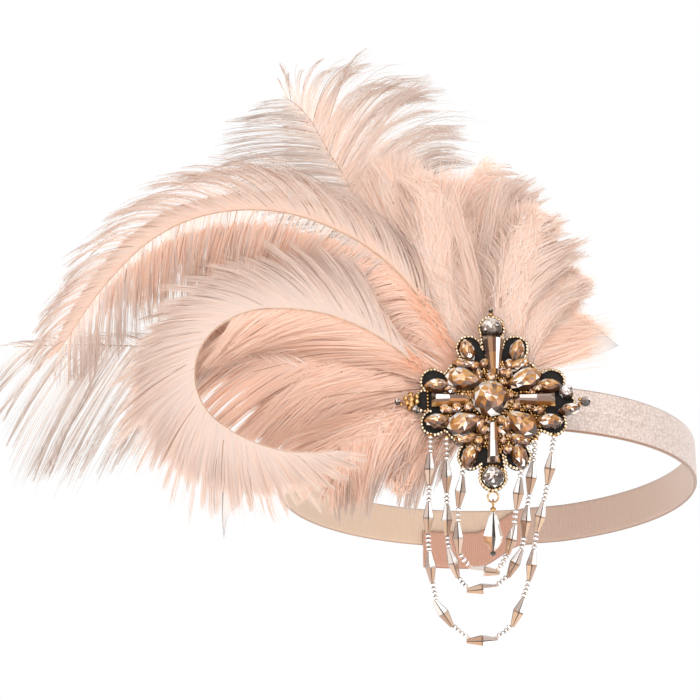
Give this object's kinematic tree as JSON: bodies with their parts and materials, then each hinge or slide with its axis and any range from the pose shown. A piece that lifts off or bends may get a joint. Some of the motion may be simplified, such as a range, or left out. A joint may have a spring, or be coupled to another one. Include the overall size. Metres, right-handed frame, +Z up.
{
  "type": "fascinator headband",
  "caption": "Soft elastic head loop with a felt brooch of cut glass at the forehead, hanging bead strings, a free glass drop and a spray of curling plumes that sweeps to one side.",
  "frame": {"origin": "middle of the head loop, where the head's axis passes through the band's own plane", "axes": "+X to the viewer's right, +Y from the forehead to the nape, +Z up; the loop leans 18 degrees about X, forehead side up"},
  "size_m": [0.2606, 0.2211, 0.205],
  "materials": {
    "elastic": "satin fold-over elastic",
    "felt": "pressed felt",
    "gold": "gilt beads and wire",
    "champagne_glass": "cut and polished",
    "smoke_glass": "cut and polished",
    "bead_string": "glass beads on thread",
    "plume": "dyed feather barbs"
  },
  "bodies": {
    "headpiece": {"band": "elastic", "bead_edging": "gold", "bead_tip_east": "smoke_glass", "bead_tip_north": "gold", "bead_tip_west": "smoke_glass", "bead_west_cluster": "gold", "brooch_backing": "felt", "drop_loop": "gold", "plume_arch": "plume", "plume_crest": "plume", "plume_curl": "plume", "plume_down_1": "plume", "plume_down_2": "plume", "plume_fan_1": "plume", "plume_fan_2": "plume", "plume_fan_3": "plume", "plume_fan_4": "plume", "plume_fan_5": "plume", "plume_fan_6": "plume", "plume_sweep": "plume", "quill_binding": "felt", "stone_arm_east": "champagne_glass", "stone_arm_north": "champagne_glass", "stone_arm_south": "champagne_glass", "stone_arm_west": "champagne_glass", "stone_centre": "champagne_glass", "stone_end_north": "smoke_glass", "stone_end_south": "smoke_glass", "stone_pear_ne": "champagne_glass", "stone_pear_nw": "champagne_glass", "stone_pear_se": "champagne_glass", "stone_pear_sw": "champagne_glass", "stone_petal_1": "champagne_glass", "stone_petal_2": "champagne_glass", "stone_petal_3": "champagne_glass", "stone_petal_4": "champagne_glass", "stone_petal_5": "champagne_glass", "stone_petal_6": "champagne_glass", "stone_petal_7": "champagne_glass", "stone_petal_8": "champagne_glass", "stone_side_marquise": "champagne_glass", "stone_side_round": "smoke_glass", "swag_inner": "bead_string", "swag_middle": "bead_string", "swag_outer": "bead_string"},
    "drop": {"drop": "champagne_glass"}
  },
  "joints": [
    {"name": "drop_swing", "type": "hinge", "parent": "headpiece", "child": "drop", "pos_m": [-0.0049, -0.11034, -0.00263], "axis": [-1, 0, 0], "range_deg": [-20, 60]}
  ]
}
